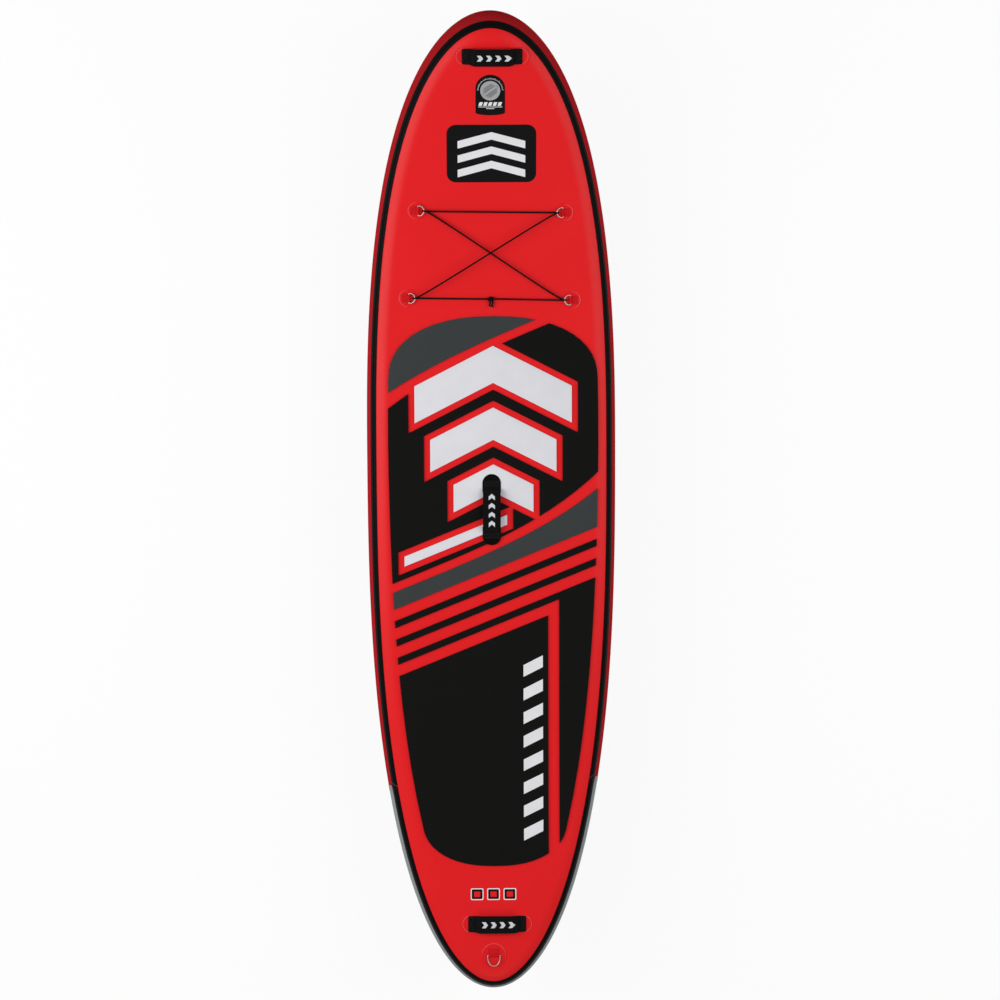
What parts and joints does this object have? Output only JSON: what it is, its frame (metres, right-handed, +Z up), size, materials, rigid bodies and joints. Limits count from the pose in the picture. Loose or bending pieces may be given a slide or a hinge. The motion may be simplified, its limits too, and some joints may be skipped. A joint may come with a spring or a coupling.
{
  "type": "stand-up paddle board",
  "caption": "Inflatable stand-up paddle board with foam deck pads, carry handles, crossed cargo cord, air valve, leash ring and sliding centre fin.",
  "frame": {"origin": "on the ground under the middle of the board, level with the tip of the centre fin", "axes": "+Y towards the nose, +Z up through the deck, +X to the right of a rider who faces the nose"},
  "size_m": [0.812, 3.1999, 0.5189],
  "materials": {
    "bottom_seam_tape": "gloss",
    "bottom_skin": "satin",
    "cargo_cord": "matte",
    "cargo_cord_knot": "matte",
    "cargo_front_left_patch": "satin",
    "cargo_front_left_ring": "satin",
    "cargo_front_right_patch": "satin",
    "cargo_front_right_ring": "satin",
    "cargo_rear_left_patch": "satin",
    "cargo_rear_left_ring": "satin",
    "cargo_rear_right_patch": "satin",
    "cargo_rear_right_ring": "satin",
    "centre_fin": "satin",
    "centre_handle_grip": "matte",
    "centre_handle_patch_front": "satin",
    "centre_handle_patch_rear": "satin",
    "centre_handle_strap": "matte",
    "deck_skin": "satin",
    "drop_stitch_yarn": "matte",
    "fin_box": "satin",
    "fin_nut_plate": "satin",
    "fin_pin": "satin",
    "fin_screw": "satin",
    "leash_patch": "satin",
    "leash_ring": "satin",
    "nose_handle_grip": "matte",
    "nose_handle_patch_left": "satin",
    "nose_handle_patch_right": "satin",
    "nose_handle_strap": "matte",
    "pad_chevron_large": "matte",
    "pad_chevron_middle": "matte",
    "pad_chevron_small": "matte",
    "pad_front_black": "matte",
    "pad_front_grey": "matte",
    "pad_grey_band": "matte",
    "pad_rear": "matte",
    "pad_side": "matte",
    "pad_stripe_front": "matte",
    "pad_stripe_rear": "matte",
    "pad_white_bar": "matte",
    "rail_tape_front": "gloss",
    "rail_tape_tail": "gloss",
    "side_fin_base_left": "satin",
    "side_fin_base_right": "satin",
    "side_fin_left": "satin",
    "side_fin_right": "satin",
    "side_wall_front": "satin",
    "side_wall_tail": "satin",
    "tail_handle_grip": "matte",
    "tail_handle_patch_left": "satin",
    "tail_handle_patch_right": "satin",
    "tail_handle_strap": "matte",
    "valve_badge": "satin",
    "valve_base": "satin",
    "valve_body": "satin",
    "valve_cap": "satin",
    "valve_diaphragm": "matte",
    "valve_gasket": "matte",
    "valve_plunger": "satin",
    "valve_spring": "satin"
  },
  "bodies": {
    "board": {"bottom_seam_tape": "bottom_seam_tape", "bottom_skin": "bottom_skin", "cargo_cord": "cargo_cord", "cargo_cord_knot": "cargo_cord_knot", "cargo_front_left_patch": "cargo_front_left_patch", "cargo_front_right_patch": "cargo_front_right_patch", "cargo_rear_left_patch": "cargo_rear_left_patch", "cargo_rear_right_patch": "cargo_rear_right_patch", "centre_handle_grip": "centre_handle_grip", "centre_handle_patch_front": "centre_handle_patch_front", "centre_handle_patch_rear": "centre_handle_patch_rear", "centre_handle_strap": "centre_handle_strap", "deck_skin": "deck_skin", "drop_stitch_yarn": "drop_stitch_yarn", "fin_box": "fin_box", "leash_patch": "leash_patch", "nose_handle_grip": "nose_handle_grip", "nose_handle_patch_left": "nose_handle_patch_left", "nose_handle_patch_right": "nose_handle_patch_right", "nose_handle_strap": "nose_handle_strap", "pad_chevron_large": "pad_chevron_large", "pad_chevron_middle": "pad_chevron_middle", "pad_chevron_small": "pad_chevron_small", "pad_front_black": "pad_front_black", "pad_front_grey": "pad_front_grey", "pad_grey_band": "pad_grey_band", "pad_rear": "pad_rear", "pad_side": "pad_side", "pad_stripe_front": "pad_stripe_front", "pad_stripe_rear": "pad_stripe_rear", "pad_white_bar": "pad_white_bar", "rail_tape_front": "rail_tape_front", "rail_tape_tail": "rail_tape_tail", "side_fin_base_left": "side_fin_base_left", "side_fin_base_right": "side_fin_base_right", "side_fin_left": "side_fin_left", "side_fin_right": "side_fin_right", "side_wall_front": "side_wall_front", "side_wall_tail": "side_wall_tail", "tail_handle_grip": "tail_handle_grip", "tail_handle_patch_left": "tail_handle_patch_left", "tail_handle_patch_right": "tail_handle_patch_right", "tail_handle_strap": "tail_handle_strap", "valve_badge": "valve_badge", "valve_base": "valve_base", "valve_body": "valve_body", "valve_gasket": "valve_gasket", "valve_spring": "valve_spring"},
    "cargo_front_left_ring": {"cargo_front_left_ring": "cargo_front_left_ring"},
    "cargo_front_right_ring": {"cargo_front_right_ring": "cargo_front_right_ring"},
    "cargo_rear_left_ring": {"cargo_rear_left_ring": "cargo_rear_left_ring"},
    "cargo_rear_right_ring": {"cargo_rear_right_ring": "cargo_rear_right_ring"},
    "leash_ring": {"leash_ring": "leash_ring"},
    "valve_cap": {"valve_cap": "valve_cap"},
    "valve_plunger": {"valve_plunger": "valve_plunger", "valve_diaphragm": "valve_diaphragm"},
    "centre_fin": {"centre_fin": "centre_fin", "fin_pin": "fin_pin", "fin_nut_plate": "fin_nut_plate"},
    "fin_screw": {"fin_screw": "fin_screw"}
  },
  "joints": [
    {"name": "cargo_front_left_ring_swing", "type": "hinge", "parent": "board", "child": "cargo_front_left_ring", "pos_m": [-0.23284, 0.97028, 0.37312], "axis": [0, -0.9911, -0.1332], "range_deg": [-12, 45], "deforming": ["cargo_cord"]},
    {"name": "cargo_front_right_ring_swing", "type": "hinge", "parent": "board", "child": "cargo_front_right_ring", "pos_m": [0.23284, 0.96263, 0.37209], "axis": [0, 0.9911, 0.1332], "range_deg": [-12, 45], "deforming": ["cargo_cord"]},
    {"name": "cargo_rear_left_ring_swing", "type": "hinge", "parent": "board", "child": "cargo_rear_left_ring", "pos_m": [-0.264, 0.68952, 0.35574], "axis": [0, -1, -0.005], "range_deg": [-12, 45], "deforming": ["cargo_cord"]},
    {"name": "cargo_rear_right_ring_swing", "type": "hinge", "parent": "board", "child": "cargo_rear_right_ring", "pos_m": [0.2575, 0.68164, 0.35569], "axis": [0, 1, 0.005], "range_deg": [-12, 45], "deforming": ["cargo_cord"]},
    {"name": "leash_ring_swing", "type": "hinge", "parent": "board", "child": "leash_ring", "pos_m": [0, -1.47324, 0.39286], "axis": [-1, 0, 0], "range_deg": [-2, 165]},
    {"name": "valve_cap_turn", "type": "hinge", "parent": "board", "child": "valve_cap", "pos_m": [0, 1.34995, 0.45226], "axis": [0, -0.3102, 0.9507], "range_deg": [0, 90]},
    {"name": "valve_plunger_push", "type": "slide", "parent": "board", "child": "valve_plunger", "axis": [0, 0.3102, -0.9507], "range_m": [0, 0.006], "stiffness_N_per_m": 400, "springref_m": -0.01, "deforming": ["valve_spring"]},
    {"name": "centre_fin_slide", "type": "slide", "parent": "board", "child": "centre_fin", "axis": [0, 0.9976, -0.0698], "range_m": [-0.03, 0.03]},
    {"name": "fin_screw_turn", "type": "hinge", "parent": "centre_fin", "child": "fin_screw", "pos_m": [0, -1.15894, 0.21555], "axis": [0, -0.0698, -0.9976], "continuous": true}
  ]
}
